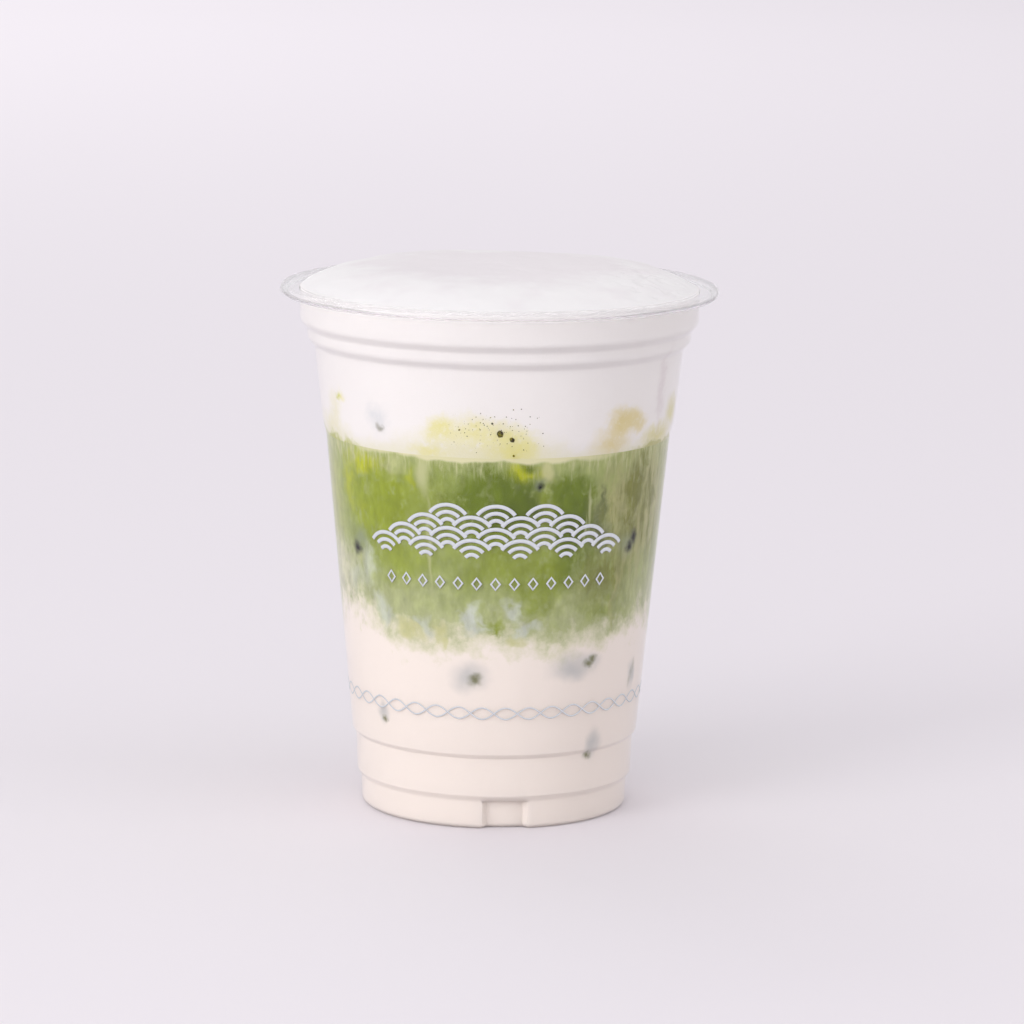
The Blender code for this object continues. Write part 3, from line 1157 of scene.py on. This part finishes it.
def make_foam():
    """The head of foam, from the ledge in the wall up to the mound over the rim."""
    side = between(drink_side, FOAM_EDGE, LEDGE_HEIGHT)
    edge = side[0].x
    mound = []
    for k in range(FOAM_RINGS):
        share = math.sin(math.pi / 2 * k / FOAM_RINGS)
        rise = FOAM_RISE * (1 - share**FOAM_SQUARENESS)
        mound.append(Vector((edge * share, FOAM_EDGE + rise)))
    bottom = Vector((0, LEDGE_HEIGHT + PARTING))
    foam = turned("milk_foam", [*mound, *side, bottom], foam_skin)
    for vertex in foam.data.vertices:
        x, y, z = (c / MM for c in vertex.co)
        held = min(1.0, max(0.0, (edge - math.hypot(x, y)) / HELD_EDGE))
        if z > FOAM_EDGE:
            vertex.co.z += foam_relief(x, y) * held * MM
    return foam


foam = make_foam()
print("foam stands to", round(max(v.co.z for v in foam.data.vertices) / MM, 1), "mm")

# %% [markdown]
# ## Matcha powder in the foam
#
# A pinch of dry powder floated up and stuck to the wall, over a yellow stain in the foam: two
# lumps up to two millimetres wide and a scatter of grains as fine as dust. The grains are real
# pieces, not painted dots. A geometry-nodes tree scatters points on a map of the wall, thickest
# in the middle, and puts a small flat ball of twenty faces on each. The last step bends the flat
# map round the foam, so every grain sits in its wet side.

# %% Bending a flat map round the wall
FLAT_RADIUS = 36.0


def flat_place(angle, height):
    """The place of an (angle, height) on the flat map, in metres."""
    return Vector((math.radians(angle) * FLAT_RADIUS, height, 0)) * MM


def bent(geometry, given):
    """Bends a flat map round a cone. X runs round it, Y up it and Z out of it."""
    across, up, out = geometry.node("GeometryNodeInputPosition").parts()
    angle = across / (FLAT_RADIUS * MM)
    radius = given["Radius"] + (up - given["Height"]) * given["Lean"] + out
    places = {
        "X": radius * angle.maths("SINE", angle),
        "Y": radius * angle.maths("COSINE", angle) * -1,
        "Z": up - out * given["Lean"],
    }
    place = geometry.node("ShaderNodeCombineXYZ", None, places)
    return geometry.node("GeometryNodeSetPosition", None, {"Geometry": geometry, "Position": place})


print("the wall at 60 mm is", round(radius_at(outer_skin, 60), 2), "mm from the axis")

# %% Powder
POWDER_DARK = own_colour(70, 66, 30)
POWDER_LIGHT = own_colour(128, 122, 52)
POWDER_SEED = 11
GRAINS = 150
GRAIN_SIZE = 0.34
FLATNESS = (1, 0.8, 0.3)
POWDER_MIDDLE = (-0.6, 91.0)
POWDER_SPREAD = (9.0, 2.8)
POWDER_HEIGHT = 90.0

# angle, height and width of the lumps and the largest grains
LUMPS = [
    (0.9, 90.5, 1.9),
    (4.7, 89.2, 1.4),
    (5.3, 85.6, 0.6),
    (-1.6, 92.8, 0.6),
    (-12.0, 91.2, 0.55),
]


def powder_finish():
    """Dark olive matcha powder, a little uneven from grain to grain."""
    material, shader, start = new_material("matcha_powder")
    place = millimetres(start)
    colour = blend(grain(place, size=0.7).step(0.4, 0.7), POWDER_DARK, POWDER_LIGHT)
    join(shader, Base_Color=colour, Roughness=0.8, Specular_IOR_Level=0.1)
    return material


def powder_tree():
    """Geometry nodes: lumps at given points and fine grains about their middle."""
    kinds = {"Grains": int, "Seed": int, "Grain size": float, "Radius": float, "Height": float}
    kinds |= {"Lean": float, "Finish": bpy.types.Material}
    tree, given = new_tree("powder", kinds)
    start = Wire(tree)

    def chance(low, high, number):
        """Random numbers from low to high, one for each point, with their own seed."""
        settings = {"data_type": "FLOAT"}
        inputs = {"Min": low, "Max": high, "Seed": given["Seed"] + number}
        return start.node("FunctionNodeRandomValue", settings, inputs, 1)

    def near(middle, spread, number):
        """Random numbers that crowd round a middle."""
        return (chance(-0.5, 0.5, number) + chance(-0.5, 0.5, number + 1)) * spread + middle

    angle = near(POWDER_MIDDLE[0], POWDER_SPREAD[0] * 2, 1)
    height = near(POWDER_MIDDLE[1], POWDER_SPREAD[1] * 2, 5)
    flat = {"X": angle * (FLAT_RADIUS * MM / math.degrees(1)), "Y": height * MM}
    place = start.node("ShaderNodeCombineXYZ", None, flat)
    size = chance(0.25, 1.0, 9)
    radius = given["Grain size"] * size * size / 2
    grains = {"Count": given["Grains"], "Position": place, "Radius": radius}
    fine = start.node("GeometryNodePoints", None, grains)
    width = start.node("GeometryNodeInputNamedAttribute", {"data_type": "FLOAT"}, {"Name": "size"})
    seeds = {"Mesh": given["Geometry"], "Radius": width}
    lumps = start.node("GeometryNodeMeshToPoints", None, seeds)
    both = start.node("GeometryNodeJoinGeometry")
    for points in (fine, lumps):
        tree.links.new(points.socket, both.socket.node.inputs[0])
    ball = start.node("GeometryNodeMeshIcoSphere", None, {"Radius": 1.0, "Subdivisions": 1})
    flat_ball = ball.node("GeometryNodeTransform", None, {"Geometry": ball, "Scale": FLATNESS})
    turn = start.node("ShaderNodeCombineXYZ", None, {"Z": chance(0, math.tau, 12)})
    setting = {
        "Points": both,
        "Instance": flat_ball,
        "Rotation": turn,
        "Scale": start.node("GeometryNodeInputRadius"),
    }
    set_out = both.node("GeometryNodeInstanceOnPoints", None, setting)
    real = set_out.node("GeometryNodeRealizeInstances", None, {"Geometry": set_out})
    end_tree(tree, bent(real, given), given["Finish"])
    return tree


def make_powder():
    """The powder, half sunk in the foam's wet side."""
    seeds = bpy.data.meshes.new("lumps")
    seeds.from_pydata([flat_place(angle, height) for angle, height, _ in LUMPS], [], [])
    sizes = seeds.attributes.new("size", "FLOAT", "POINT")
    sizes.data.foreach_set("value", [width / 2 * MM for _, _, width in LUMPS])
    lean = radius_at(drink_side, POWDER_HEIGHT + 1) - radius_at(drink_side, POWDER_HEIGHT)
    given = {
        "Grains": GRAINS,
        "Seed": POWDER_SEED,
        "Grain size": GRAIN_SIZE * MM,
        "Radius": radius_at(drink_side, POWDER_HEIGHT) * MM,
        "Height": POWDER_HEIGHT * MM,
        "Lean": lean,
        "Finish": powder_finish(),
    }
    return grow("matcha_powder", powder_tree(), seeds, given)


powder = make_powder()
print(GRAINS, "grains and", len(LUMPS), "lumps,", len(powder.data.polygons), "faces")

# %% [markdown]
# ## Ice
#
# Thirteen ice cubes fill the cup below the foam. All are sunk, and the corners that reach
# the wall are the dark spots of the drink. The tree takes one point for each cube, with its turn
# as an attribute. It rounds a gridded cube by pulling every point towards a smaller cube and out
# again by the radius of the edge, and noise makes the faces uneven as melting does.

# %% Ice
CUBE_SIZE = 18.0
CUBE_EDGE = 2.4
CUBE_GRID = 12
MELT = 0.5
MELT_SIZE = 9
CLEAR_ICE = light_of(236, 243, 246)
CLOUDY_ICE = light_of(250, 251, 252)

# place in millimetres, then turn about X, Y and Z in degrees
CUBES = [
    ((22.4, -8.5, 62.6), (-158, -36, -108)),
    ((-21.3, -12.3, 53.2), (130, 18, -148)),
    ((3.8, -25.7, 71.2), (-156, 19, -82)),
    ((-10.7, -20.0, 29.6), (-83, 18, -24)),
    ((19.0, -12.9, 41.3), (-79, -19, -127)),
    ((9.2, -16.0, 19.6), (141, -21, 92)),
    ((21.5, 10.8, 71.0), (158, -29, 107)),
    ((-18.2, 12.3, 62.5), (-47, -24, 29)),
    ((2.9, 23.5, 52.9), (-175, -2, -158)),
    ((19.1, 7.4, 23.5), (153, -25, -49)),
    ((-2.5, 19.4, 22.0), (0, 55, -16)),
    ((-20.8, 3.9, 28.1), (112, 20, -69)),
    ((-3.2, 26.7, 72.3), (106, -11, -83)),
]


def ice_finish():
    """Clear ice, cloudy with trapped air in places."""
    material, shader, start = new_material("ice")
    place = millimetres(start)
    cloud = grain(place, size=6, detail=4, rough=0.6).step(0.45, 0.7)
    join(
        shader,
        Base_Color=blend(cloud, CLEAR_ICE, CLOUDY_ICE),
        Roughness=cloud * 0.3 + 0.06,
        IOR=1.31,
        Transmission_Weight=1.0,
    )
    return material


def ice_tree():
    """Geometry nodes that round a gridded cube and set one on every point."""
    kinds = {"Size": float, "Edge": float, "Grid": int, "Melt": float, "Finish": bpy.types.Material}
    tree, given = new_tree("ice", kinds)
    start = Wire(tree)
    sides = start.node("ShaderNodeCombineXYZ", None, {axis: given["Size"] for axis in "XYZ"})
    counts = {f"Vertices {axis}": given["Grid"] for axis in "XYZ"}
    cube = start.node("GeometryNodeMeshCube", None, {"Size": sides, **counts}, "Mesh")
    place = start.node("GeometryNodeInputPosition")
    reach = given["Size"] / 2 - given["Edge"]
    corner = start.node("ShaderNodeCombineXYZ", None, {axis: reach for axis in "XYZ"})
    least = corner.vector("MULTIPLY", corner, (-1, -1, -1))
    core = place.vector("MINIMUM", place.vector("MAXIMUM", place, least), corner)
    away = place.vector("NORMALIZE", place.vector("SUBTRACT", place, core))
    edge = {0: away, "Scale": given["Edge"]}
    outwards = away.node("ShaderNodeVectorMath", {"operation": "SCALE"}, edge)
    at_skin = core.vector("ADD", core, outwards)
    smooth = cube.node("GeometryNodeSetPosition", None, {"Geometry": cube, "Position": at_skin})
    kept_turn = {"data_type": "FLOAT_VECTOR"}
    turn = start.node("GeometryNodeInputNamedAttribute", kept_turn, {"Name": "turn"})
    points = start.node("GeometryNodeMeshToPoints", None, {"Mesh": given["Geometry"]})
    setting = {"Points": points, "Instance": smooth, "Rotation": turn}
    set_out = points.node("GeometryNodeInstanceOnPoints", None, setting)
    real = set_out.node("GeometryNodeRealizeInstances", None, {"Geometry": set_out})
    at = start.node("GeometryNodeInputPosition")
    scaled = at.vector("MULTIPLY", at, (1 / MM / MELT_SIZE,) * 3)
    lumps = at.node("ShaderNodeTexNoise", None, {"Vector": scaled, "Scale": 1, "Detail": 1})
    normal = start.node("GeometryNodeInputNormal")
    melting = {0: normal, "Scale": lumps * given["Melt"] * -1}
    push = normal.node("ShaderNodeVectorMath", {"operation": "SCALE"}, melting)
    melted = real.node("GeometryNodeSetPosition", None, {"Geometry": real, "Offset": push})
    shaded = melted.node("GeometryNodeSetShadeSmooth", None, {"Geometry": melted})
    end_tree(tree, shaded, given["Finish"])
    return tree


def make_ice():
    """All the cubes, as one piece."""
    seeds = bpy.data.meshes.new("cubes")
    seeds.from_pydata([Vector(place) * MM for place, _ in CUBES], [], [])
    turns = seeds.attributes.new("turn", "FLOAT_VECTOR", "POINT")
    angles = [math.radians(angle) for _, turn in CUBES for angle in turn]
    turns.data.foreach_set("vector", angles)
    given = {
        "Size": CUBE_SIZE * MM,
        "Edge": CUBE_EDGE * MM,
        "Grid": CUBE_GRID,
        "Melt": MELT * MM,
        "Finish": ice_finish(),
    }
    return grow("ice_cubes", ice_tree(), seeds, given)


ice = make_ice()
print(len(CUBES), "cubes,", len(ice.data.polygons), "faces")

# %% [markdown]
# ## The printed pattern
#
# Takeaway cups are screen-printed on the outside in pale ink, which lies on the plastic as a film
# thinner than a hair. This cup has a plain traditional pattern: a bank of waves, each one three
# arcs, over a row of lozenges, and a twisted border round the lower wall. The tree sweeps a flat
# ribbon along the lines of one motif, sets the motif on every place, and bends the whole film
# round the wall. Where two waves overlap, the arcs of the back one stop at the front one, which
# is worked out once for the motif.

# %% Ink and its tree
INK_HEIGHT = 0.03
INK_GAP = 0.02
PALE_INK = light_of(214, 217, 223)
THIN_INK = light_of(192, 198, 198)
SAME_POINT = 1e-6


def ink_finish():
    """Pale ink, slightly thin in places where the screen let less through."""
    material, shader, start = new_material("pale_ink")
    place = millimetres(start)
    thin = grain(place, size=0.8, detail=4, rough=0.7).step(0.45, 0.8)
    colour = blend(thin * 0.5, PALE_INK, THIN_INK)
    join(shader, Base_Color=colour, Roughness=0.5, Specular_IOR_Level=0.3)
    return material


def ink_tree():
    """Geometry nodes: a ribbon along a motif's lines, on every place, bent round the wall."""
    kinds = {"Motif": bpy.types.Object, "Line width": float, "Ink height": float, "Radius": float}
    kinds |= {"Height": float, "Lean": float, "Caps": bool, "Finish": bpy.types.Material}
    tree, given = new_tree("ink", kinds)
    start = Wire(tree)
    lines = start.node("GeometryNodeObjectInfo", None, {"Object": given["Motif"]}, "Geometry")
    curves = lines.node("GeometryNodeMeshToCurve", None, {"Mesh": lines})
    upright = curves.node("GeometryNodeSetCurveNormal", {"mode": "Z_UP"}, {"Curve": curves})
    ribbon = {"Width": given["Line width"], "Height": given["Ink height"]}
    section = start.node("GeometryNodeCurvePrimitiveQuadrilateral", None, ribbon)
    sweep = {"Curve": upright, "Profile Curve": section, "Fill Caps": given["Caps"]}
    film = upright.node("GeometryNodeCurveToMesh", None, sweep)
    points = start.node("GeometryNodeMeshToPoints", None, {"Mesh": given["Geometry"]})
    setting = {"Points": points, "Instance": film}
    set_out = points.node("GeometryNodeInstanceOnPoints", None, setting)
    real = set_out.node("GeometryNodeRealizeInstances", None, {"Geometry": set_out})
    wrapped = bent(real, given)
    weld = {"Geometry": wrapped, "Distance": WELD}
    closed = wrapped.node("GeometryNodeMergeByDistance", None, weld)
    end_tree(tree, closed, given["Finish"])
    return tree


def printed(name, motif_lines, places, width, height, caps=True):
    """A printed band: one motif of point lines in millimetres on each (angle, height) place."""
    points, edges = [], []
    for line in motif_lines:
        first = len(points)
        points += [Vector((x, y, 0)) * MM for x, y in line]
        edges += [(first + i, first + i + 1) for i in range(len(line) - 1)]
        if (Vector(line[0]) - Vector(line[-1])).length < SAME_POINT:
            points.pop()
            edges[-1] = (len(points) - 1, first)
    drawing = bpy.data.meshes.new(name + "_motif")
    drawing.from_pydata(points, edges, [])
    motif = bpy.data.objects.new(name + "_motif", drawing)
    seeds = bpy.data.meshes.new(name + "_places")
    seeds.from_pydata([flat_place(angle, high) for angle, high in places], [], [])
    given = {
        "Motif": motif,
        "Line width": width * MM,
        "Ink height": INK_HEIGHT * MM,
        "Radius": (radius_at(outer_skin, height) + INK_GAP) * MM,
        "Height": height * MM,
        "Lean": wall_slope,
        "Caps": caps,
        "Finish": ink,
    }
    film = grow(name, ink_on_wall, seeds, given)
    bpy.data.objects.remove(motif)
    bpy.data.meshes.remove(drawing)
    print(name, len(places), "places,", len(film.data.polygons), "faces")
    return film


ink = ink_finish()
ink_on_wall = ink_tree()

# %% The pattern
WAVE_RADIUS = 5.2
WAVE_ARCS = (4.9, 3.3, 1.7)
WAVE_WIDTH = 0.85
WAVE_ROWS = (6, 5, 4, 3)
WAVE_FOOT = 61.5
LOZENGES = 13
LOZENGE_PITCH = 6.6
LOZENGE_HEIGHT = 56.6
LOZENGE_LINE = 0.5
LOZENGE = [(0, -1.3), (1.0, 0), (0, 1.3), (-1.0, 0), (0, -1.3)]
BORDER_HEIGHT = 27.0
BORDER_WAVES = 40
BORDER_SWING = 1.3
BORDER_WIDTH = 0.32
BORDER_STEPS = 720


def wave_motif():
    """The arcs of one wave, cut off where the two waves in front of it begin."""
    neighbours = [Vector((side * WAVE_RADIUS, -WAVE_RADIUS / 2)) for side in (-1, 1)]
    angles = [math.radians(angle) for angle in range(-30, 211, 6)]
    arcs = []
    for radius in WAVE_ARCS:
        points = [Vector((math.cos(a), math.sin(a))) * radius for a in angles]
        arcs.append([p for p in points if all((p - n).length > WAVE_RADIUS for n in neighbours)])
    return arcs


def wave_places():
    """The middles of the waves, in rows that get shorter upwards."""
    places = []
    pitch = math.degrees(2 * WAVE_RADIUS / FLAT_RADIUS)
    for row, count in enumerate(WAVE_ROWS):
        for k in range(count):
            places.append(((k - (count - 1) / 2) * pitch, WAVE_FOOT + row * WAVE_RADIUS / 2))
    return places


def lozenge_places():
    """A level row of lozenges under the waves."""
    return [((k - (LOZENGES - 1) / 2) * LOZENGE_PITCH, LOZENGE_HEIGHT) for k in range(LOZENGES)]


def twist_lines():
    """Two waving lines that cross each other, once round the cup."""
    lines = []
    for side in (-1, 1):
        line = []
        for k in range(BORDER_STEPS + 1):
            turn = k / BORDER_STEPS * math.tau
            swing = side * BORDER_SWING * math.sin(BORDER_WAVES * turn / 2)
            line.append((turn * FLAT_RADIUS, swing))
        lines.append(line)
    return lines


waves = printed("printed_waves", wave_motif(), wave_places(), WAVE_WIDTH, WAVE_FOOT)
lozenges = printed("printed_lozenges", [LOZENGE], lozenge_places(), LOZENGE_LINE, LOZENGE_HEIGHT)
border_place = [(0, BORDER_HEIGHT)]
border = printed("printed_border", twist_lines(), border_place, BORDER_WIDTH, BORDER_HEIGHT, False)

# %% [markdown]
# ## Handing the pieces over
#
# Each fine piece stands for the plain solid of the same name in the CAD model, and rides on its
# one body.

# %% Handing over
for piece, node, slot in (
    (cup, "cup", "clear_plastic"),
    (milk, "milk", "milk"),
    (matcha, "matcha", "matcha"),
    (foam, "foam", "foam"),
):
    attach(piece, "root")
    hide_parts(node)
for piece in (powder, ice, waves, lozenges, border):
    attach(piece, "root")
